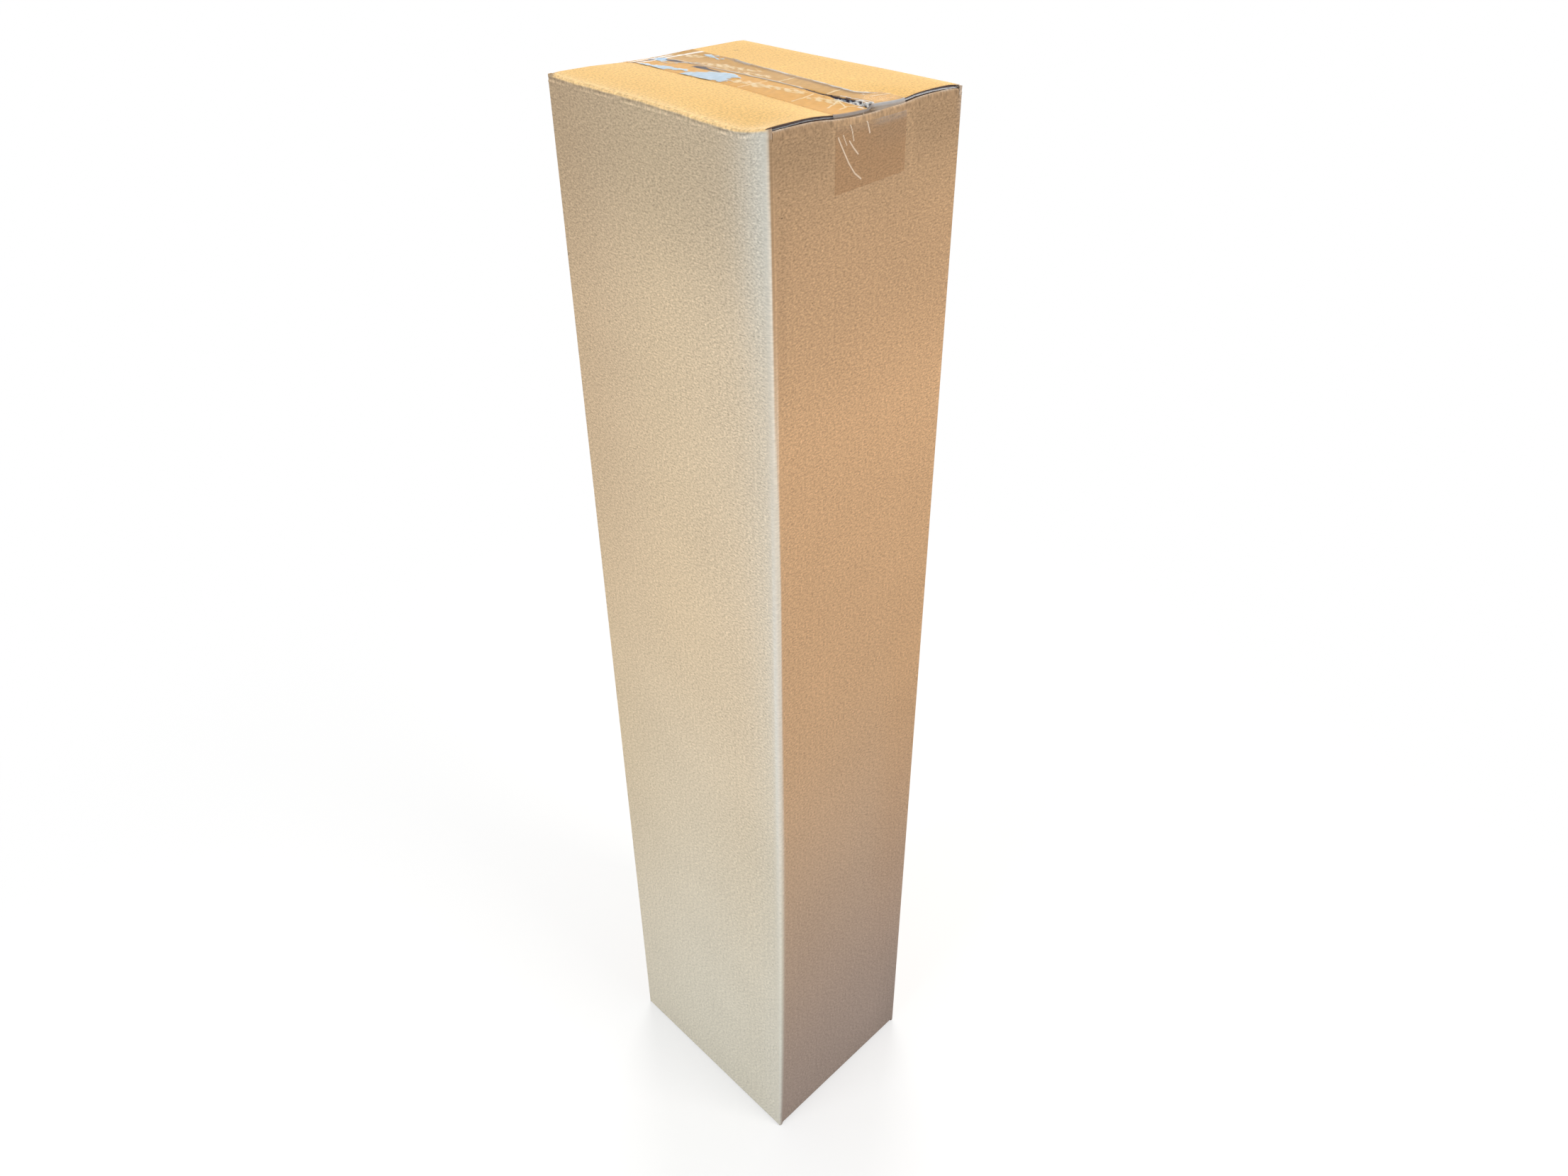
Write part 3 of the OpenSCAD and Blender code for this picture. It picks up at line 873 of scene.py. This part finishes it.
def loose_film():
    """A hardly stuck corner at the front, lifted loose film with a painted sky reflection, and painted
    highlights as bright lines at the back, with a painted shadow line.
    """
    blob([(8, -112), (36, -112), (37, -94), (27, -84), (16, -92), (9, -102)], LOOSE, 0.1, 2)
    for height, points in (
        (0.35, [
            (-34, 43.3), (-21.5, 46.6), (-15.2, 36.8), (-7.4, 31.9), (-4.2, 10.7), (-10.5, 4.2),
            (-19.9, 7.5), (-23, -1.5), (-32, 12),
        ]),
        (0.3, [(-28, 101), (-24, 100), (-21.5, 78), (-17, 52), (-20.5, 48), (-31.5, 74)]),
        (0.3, [(-10, 110), (-6, 111), (-4, 92), (-9, 90)]),
        (0.3, [(-13.5, 86), (-9.5, 84), (7, 66), (2.5, 65)]),
        (0.25, [(27.5, 86), (35, 88), (33.5, 77), (27.5, 64), (25, 68), (28, 78)]),
        (0.2, [(35, 61), (37.4, 56), (30, 31), (27.4, 40)]),
    ):
        blob(points, SKY_REFLECTION, height)
    crease([(4, 103.2), (26, 101.6), (40, 100.4)], 1.9, BRIGHT_GLINT, 0.25)
    crease([(-28, 103), (-18, 102), (-7, 101)], 1.2, BRIGHT_GLINT, 0.2)
    crease([(-27, 110.2), (-6, 109), (14, 109)], 1.3, BRIGHT_GLINT, 0.2)
    crease([(-29, 106.6), (-8, 104.8)], 1.3, SHADOW, 0)
    crease([(-29, 110), (-29.8, 80), (-30.4, 66), (-33, 47)], 0.5, WHITE_GLINT, 0.2)


def seam_film():
    """The film over the seam, which is open below it: grey lines and a pale lip along it, a painted sky
    reflection, and painted shade where the seam opens.
    """
    crease([(-0.6, 112), (-0.8, 98)], 0.9, SKY_REFLECTION, 0.2)
    crease([(-0.8, 84), (-0.9, 62), (0.2, 20), (0.2, -25), (-0.6, -52)], 0.65, GREY, 0.15)
    crease([(2.2, 84), (2, 40), (1.8, -20), (0.8, -58)], 0.5, SMOKE, 0.1)
    blob([(-7, 100), (-5, 108), (1, 108), (3.4, 102), (-2.4, 95)], DEEP_SKY_REFLECTION, 0.2, 0.8)
    # Painted shade where the seam stands open
    for hole in (
        [(-4.8, 94), (-1, 97), (1.4, 91), (0.6, 78), (-2.8, 78), (-5, 87)],
        [(-8.4, 60), (-3.4, 60), (-0.8, 51), (-3.4, 44), (-4.4, 29), (-6.8, 29), (-7.8, 46)],
    ):
        blob(hole, GAP_SHADE, 0, 0.8, False)
    crease([(2.6, 97), (2.2, 84), (2.6, 62), (1.9, 30), (1.6, -20), (0.8, -50)], 0.7, SEAM_LIP, 0.15)
    crease([(0, -54), (0.6, -72), (1.4, -90), (1.8, -106)], 0.9, GAP_SHADE, 0)
    front_hole = [(-2.4, -114.5), (3.8, -114.5), (3.4, -100), (2.4, -86), (1.4, -72), (0.5, -58)]
    blob(front_hole + [(-0.6, -58), (-1.6, -86)], GAP_SHADE, 0, 0.8)


def cracks():
    """Fine pale cracks and creases: (width, points)."""
    for width, points in (
        (0.5, [(-30.8, -17.7), (-2.5, -17.7)]),
        (0.55, [(1.5, -24.7), (12, -24), (24, -21.8)]),
        (0.5, [(-31.9, -72.6), (-15, -69.8), (-5.5, -67.2)]),
        (0.55, [(2.5, -72.2), (21.1, -70.3)]),
        (0.6, [(20.2, -97.4), (31, -99), (39, -102.4)]),
        (0.55, [(-24.4, -98.8), (-13, -94), (-4, -89.4)]),
        (0.6, [(-4, -89.4), (-9.2, -99.2), (-12.5, -104)]),
        (0.5, [(-20, -106), (-10, -103), (-4.5, -106)]),
    ):
        crease(points, width, HAIR)


def tucked_edge():
    """The tucked margin's edge: a shade beside it, its fold, and light along it."""
    d = near_line(px, py, TUCK_LINE)
    coat(0.85 * hump(d, 2.6, 2) * on_top * (py < 72) * (py > -92), TUCK_SHADE)
    crease(TUCK_LINE[1:], 0.9, TUCK_FOLD, 0.55)
    lit = step(1.6 * wobble(py, 0, 37, 84) + 0.6)
    d = near_line(px + 0.2 * rag_x, py, [(x - 0.6, y) for x, y in TUCK_LINE[2:]])
    coat(hump(d, 0, 0.55) * lit * on_top, WHITE_GLINT, 0.15)
    crease([(27, -91), (32, -95), (35.5, -99)], 0.7, TUCK_FRONT, 0.2)


def crumples():
    """Pale creases and painted highlights on the crumpled film at the front end of the tuck, and where the
    seam opens at the front.
    """
    rng = np.random.default_rng(5)
    for k in range(7):
        x, y = rng.uniform(20, 34), rng.uniform(-96, -80)
        end = (x + rng.uniform(-3, 4), y + rng.uniform(-2, 3))
        crease([(x, y), end], 0.4, WHITE_GLINT if k % 2 else HAIR, 0.2)
    for k in range(10):
        x, y = rng.uniform(-3, 5), rng.uniform(-112, -92)
        end = (x + rng.uniform(-1.5, 2.5), y + rng.uniform(-5, 5))
        crease([(x, y), end], 0.36, WHITE_GLINT if k % 3 else SKY_REFLECTION, 0.4)
    crease([(-4.5, -86), (-3.2, -98), (-1, -109), (3.5, -114)], 0.5, WHITE_GLINT, 0.6)
    crease([(-1.4, -98), (1.2, -102), (-1, -106), (2, -110), (-0.4, -114)], 0.65, BRIGHT_GLINT, 0.3)
    crease([(2.6, -100), (3.6, -105), (2.4, -112)], 0.6, BRIGHT_GLINT, 0.3)
    crease([(-5.4, -109.5), (-4.6, -112.5)], 1.1, BRIGHT_GLINT, 0.4)
    crease([(4, -84), (4.6, -96), (5.5, -107), (4.5, -114)], 0.5, PALE_BLUE_GLINT, 0.6)


def hanging_film():
    """The tails on the end walls, and the bridges from the flaps to the walls."""
    front_tail, front_bridge = at_front & on_wall, at_front & ~on_wall
    coat(1.0 * front_tail, WALL_WET)
    coat(0.5 * front_tail * rise(px, -20, 20) * rise(pz, 1066, 1084), WALL_SHADE)
    coat(1.0 * (at_back & on_wall), WALL_WET)
    coat(at_front * rise(pz, 1087, 1096), BRIDGE)
    coat(at_front * rise(pz, 1088, 1095) * rise(px, -2, 10), BRIDGE_RIGHT)
    # Painted highlights: a gloss line along the front bridge's top and a sheen on its right part
    coat(0.6 * front_bridge * hump(pz, HEIGHT - 0.6, 0.9), BRIDGE_GLOSS_LINE)
    coat(front_bridge * rise(px, 1, 5) * hump(pz, HEIGHT - 0.3, 0.5), BRIDGE_SHINE)
    coat(0.5 * (at_back & ~on_wall), SMOKE)
    film["cover"] = film["cover"] * (1 - 0.6 * at_front * hump(pz, 1093.3, 1.2))


def tail_glints():
    """Painted glints along curved scratches in the front tail: (width, points as x and z)."""
    for width, points in (
        (0.5, [(-33.5, 1087.6), (-28.4, 1078.7), (-22.4, 1068.4), (-16.4, 1060.3), (-10, 1055.2)]),
        (0.35, [(-28.8, 1088.9), (-24.9, 1081.6)]),
        (0.5, [(-22.4, 1084.2), (-18.1, 1078.7), (-13.4, 1073.7)]),
        (0.4, [(-22, 1095.7), (-19.8, 1090.6), (-18.1, 1083.8)]),
        (0.5, [(-7, 1099.1), (-4.4, 1093.2), (-2.1, 1086.5)]),
    ):
        coat(hump(near_line(px, pz, points), 0, width) * (at_front & (pz < HEIGHT)), GLINT, 0.18)


def streaks():
    """Streaks and fine ripples all over."""
    film["tone"] = film["tone"] * (1 + 0.07 * wobble(px, 1.8 * py, 11, 86, 4) * on_top)[..., None]
    film["lift"] = film["lift"] + 0.1 * np.maximum(wobble(px, py + pz, 16, 91), 0) + 0.05


def tape_points():
    """The film as it lies: settled with the carton, over the proud flap, sagging into the seam."""
    lift = flap_lift(np.maximum(px, 0), py) * rise(px, -2.5, 2.5) * (py < -60) * (pz > BEND_TOP + 2)
    seam_x = -0.3 * rise(py, 0, -110)
    sag = 0.7 * hump(px, seam_x, 2.0) * on_top * rise(py, -40, -80)
    base = settle(np.stack([px, py, pz], -1))
    base[..., 2] += lift - sag
    normal = np.cross(np.gradient(base, axis=1), np.gradient(base, axis=0))
    normal /= np.linalg.norm(normal, axis=-1, keepdims=True) + 1e-9
    return base + normal * film["lift"][..., None]


trapped_air()
loose_film()
seam_film()
cracks()
tucked_edge()
crumples()
hanging_film()
tail_glints()
streaks()
n_long, n_across = px.shape
tape_faces = [
    (a * n_across + b, a * n_across + b + 1, (a + 1) * n_across + b + 1, (a + 1) * n_across + b)
    for a in range(n_long - 1) for b in range(n_across - 1)
]
tape_uv = np.stack([px.ravel(), (py + pz).ravel()], -1)
tape_looks = {"tone": film["tone"].reshape(-1, 3), "cover": film["cover"].ravel()}
tape = make_mesh("tape", tape_points().reshape(-1, 3), tape_faces, tape_uv, tape_looks)


# Materials
def node_tools(tree):
    """Clears a node tree and gives back short ways to add a node and a calculation to it."""
    tree.nodes.clear()

    def node(kind, inputs=None, **settings):
        added = tree.nodes.new("ShaderNode" + kind)
        for key, value in settings.items():
            setattr(added, key, value)
        for key, value in (inputs or {}).items():
            if isinstance(value, bpy.types.NodeSocket):
                tree.links.new(value, added.inputs[key])
            else:
                added.inputs[key].default_value = value
        return added

    def calc(kind, a, b=0.0):
        return node("Math", {0: a, 1: b}, operation=kind).outputs[0]

    return node, calc


def new_material(name):
    mat = bpy.data.materials.new(name)
    mat.use_nodes = True
    return (mat, *node_tools(mat.node_tree))


def noise(node, at, scale, **inputs):
    return node("TexNoise", {"Vector": at, "Scale": scale, **inputs}).outputs[0]


def end_surface(node, tone, level, rough, height, shine, **inputs):
    """Ends a material: the points' tone times level, with height as its fine relief."""
    tinted = node("VectorMath", {0: tone, "Scale": level}, operation="SCALE").outputs[0]
    bump = node("Bump", {"Height": height, "Strength": 1.0, "Distance": 1.0}).outputs[0]
    inputs |= {"Base Color": tinted, "Roughness": rough, "Normal": bump, "Specular IOR Level": shine}
    node("OutputMaterial", {0: node("BsdfPrincipled", inputs).outputs[0]})


def board_material():
    """Brown paper: the points' tone with clouds, grain, fibres, flecks and faint flutes, these in relief
    and as painted shade.
    """
    mat, node, calc = new_material("kraft board")
    spot = node("UVMap", uv_map="blank").outputs["UV"]
    tone = node("Attribute", attribute_name="tone").outputs["Color"]
    along, up = node("SeparateXYZ", {0: spot}).outputs[0:2]

    def stretched(x, y):
        return node("VectorMath", {0: spot, 1: (x, y, 1.0)}, operation="MULTIPLY").outputs[0]

    def scaled(value, share):
        return calc("MULTIPLY", value, share)

    cloud = noise(node, spot, 11.0, Detail=3.0, Roughness=0.55)
    mottle = noise(node, stretched(0.7, 1.15), 400.0, Detail=3.0, Roughness=0.6)
    grain = noise(node, stretched(0.7, 1.15), 640.0, Detail=2.0, Roughness=0.6)
    fibre = noise(node, stretched(0.35, 1.6), 700.0, Detail=1.0, Distortion=1.2)
    flute = calc("COSINE", scaled(along, 2 * math.pi / (PITCH * MM)))
    fleck = node("TexVoronoi", {"Vector": spot, "Scale": 105.0}, feature="F1")
    fleck_pick = node("SeparateColor", {0: fleck.outputs["Color"]}).outputs[0]
    fleck_dot = calc("LESS_THAN", fleck.outputs["Distance"], 0.055)
    dark_fleck = scaled(fleck_dot, calc("GREATER_THAN", fleck_pick, 0.8))
    light_fleck = scaled(fleck_dot, calc("LESS_THAN", fleck_pick, 0.16))
    # The flaps are smoother than the walls, and the near fold is rubbed smooth
    on_walls = calc("LESS_THAN", up, (HEIGHT - 2) * MM)
    coarse = calc("ADD", scaled(on_walls, 0.22), 0.1)
    near_fold = s_of[(kind == "arc") & (angle_of > math.pi) & (angle_of < 1.5 * math.pi)].mean()
    from_fold = scaled(calc("SUBTRACT", along, near_fold * MM), 1 / (RUBBED * MM))
    rubbed = calc("EXPONENT", scaled(scaled(from_fold, from_fold), -1.0))
    rough_share = calc("SUBTRACT", 1.0, scaled(rubbed, 0.6))
    level = scaled(calc("SUBTRACT", cloud, 0.5), 0.09)
    for pattern, share in ((mottle, coarse), (grain, 0.95), (fibre, 0.3)):
        level = calc("ADD", level, scaled(calc("SUBTRACT", pattern, 0.5), share))
    # The flutes' share of the level is painted shade of the washboarded paper
    for pattern, share in ((dark_fleck, -0.45), (light_fleck, 0.3), (flute, 0.008)):
        level = calc("ADD", level, scaled(pattern, share))
    level = scaled(level, calc("ADD", scaled(on_walls, 0.22), 1.22))
    level = scaled(level, rough_share)
    height = calc("ADD", scaled(flute, 0.000035), scaled(mottle, 0.00004))
    height = scaled(calc("ADD", height, scaled(grain, 0.00004)), rough_share)
    rough = calc("ADD", scaled(mottle, 0.16), 0.74)
    end_surface(node, tone, calc("ADD", level, 1.0), rough, height, 0.22)
    return mat


def film_material():
    """Clear film: the points' tone and cover, with a little haze and ripples."""
    mat, node, calc = new_material("clear film")
    spot = node("UVMap", uv_map="blank").outputs["UV"]
    tone = node("Attribute", attribute_name="tone").outputs["Color"]
    cover = node("Attribute", attribute_name="cover").outputs["Fac"]
    haze = noise(node, spot, 220.0, Detail=3.0, Roughness=0.6)
    ripple = noise(node, spot, 60.0, Detail=2.0, Distortion=0.6)
    hazy = calc("SUBTRACT", haze, 0.5)
    level = calc("ADD", calc("MULTIPLY", hazy, 0.16), 1.0)
    height = calc("ADD", calc("MULTIPLY", ripple, 0.0001), calc("MULTIPLY", haze, 0.00001))
    rough = calc("ADD", calc("MULTIPLY", haze, 0.2), 0.25)
    cover = calc("ADD", cover, calc("MULTIPLY", hazy, 0.1))
    end_surface(node, tone, level, rough, height, 0.002, Alpha=cover)
    return mat


carton.data.materials.append(board_material())
tape.data.materials.append(film_material())

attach(carton, "root")
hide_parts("carton")
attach(tape, "root")
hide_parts("clear_tape")

# Studio and camera
scene = bpy.context.scene
scene.view_settings.view_transform = "Standard"


def seen_directly(node, calc):
    """1 for what the camera sees, also by shine or through film, and 0 for other rays."""
    rays = node("LightPath").outputs
    by_film = calc("MAXIMUM", rays["Is Glossy Ray"], rays["Is Transmission Ray"])
    return calc("MAXIMUM", rays["Is Camera Ray"], by_film)


def floor_material():
    """Looks white, with a soft shade round the object, and lights it only as a grey floor would."""
    mat, node, calc = new_material("studio floor")
    dull = node("BsdfDiffuse", {"Color": (0.32, 0.32, 0.33, 1)}).outputs[0]
    pale = node("BsdfDiffuse", {"Color": (0.9, 0.9, 0.9, 1)}).outputs[0]
    glow = node("Emission", {"Color": (1, 1, 1, 1), "Strength": 1.0}).outputs[0]
    away = node("VectorMath", {0: node("TexCoord").outputs["Object"]}, operation="LENGTH").outputs["Value"]
    limits = {"Value": away, "From Min": 0.25, "From Max": 1.3, "To Min": 0.45, "To Max": 0.0}
    share = node("MapRange", limits, interpolation_type="SMOOTHSTEP").outputs[0]
    shown = node("MixShader", {0: share, 1: glow, 2: pale}).outputs[0]
    either = node("MixShader", {0: seen_directly(node, calc), 1: dull, 2: shown}).outputs[0]
    node("OutputMaterial", {0: either})
    return mat


def add_floor():
    mesh = bpy.data.meshes.new("floor")
    mesh.from_pydata([(-9, -9, 0), (9, -9, 0), (9, 9, 0), (-9, 9, 0)], [], [(0, 1, 2, 3)])
    mesh.materials.append(floor_material())
    return put("floor", mesh)


def studio_world():
    """White to the camera, and a softer, slightly cool light on the object."""
    world = bpy.data.worlds.new("studio")
    world.use_nodes = True
    node, calc = node_tools(world.node_tree)
    soft = node("Background", {"Color": (0.94, 0.97, 1.0, 1), "Strength": 0.38}).outputs[0]
    white = node("Background", {"Color": (1, 1, 1, 1), "Strength": 1.0}).outputs[0]
    either = node("MixShader", {0: seen_directly(node, calc), 1: soft, 2: white}).outputs[0]
    node("OutputWorld", {0: either})
    return world


def lamp(name, at, to, size, power, colour):
    data = bpy.data.lights.new(name, "AREA")
    data.shape = "SQUARE"
    data.size = size
    data.energy = power
    data.color = colour
    obj = put(name, data)
    obj.location = at
    obj.rotation_euler = (Vector(to) - Vector(at)).to_track_quat("-Z", "Y").to_euler()


# The camera that fits the photo's corners of the box, in metres; its three ways are unit vectors
LENS = 26.7423
SHIFT_X, SHIFT_Y = -0.01763, -0.01786
CAMERA_AT = (-0.61529, -0.66152, 1.28137)
RIGHT_WAY = Vector((0.700136, -0.713967, 0.007762))
DOWN_WAY = Vector((-0.391791, -0.393244, -0.83178))
AHEAD = Vector((0.596916, 0.579319, -0.555051))


def add_camera():
    data = bpy.data.cameras.new("camera")
    data.sensor_width = 36.0
    data.lens = LENS
    data.shift_x = SHIFT_X
    data.shift_y = SHIFT_Y
    data.clip_start = 0.01
    obj = put("camera", data)
    turned = Matrix((RIGHT_WAY, -DOWN_WAY, -AHEAD)).transposed()
    obj.matrix_world = Matrix.Translation(CAMERA_AT) @ turned.to_4x4()
    return obj


floor = add_floor()
scene.world = studio_world()
lamp("top lamp", (0.35, 0.25, 3.1), (0, 0, 1.1), 1.4, 23.0, (1.0, 0.965, 0.88))
lamp("left lamp", (-1.75, 0.1, 0.62), (-0.1, 0, 0.62), 1.1, 25.0, (0.96, 0.985, 1.0))
lamp("front lamp", (0.35, -1.55, 1.55), (0, -0.1, 0.85), 0.9, 22.0, (1.0, 0.97, 0.92))
lamp("back lamp", (1.9, 1.9, 1.5), (0.1, 0.1, 0.6), 1.6, 50.0, (1.0, 0.99, 0.97))
scene.camera = add_camera()
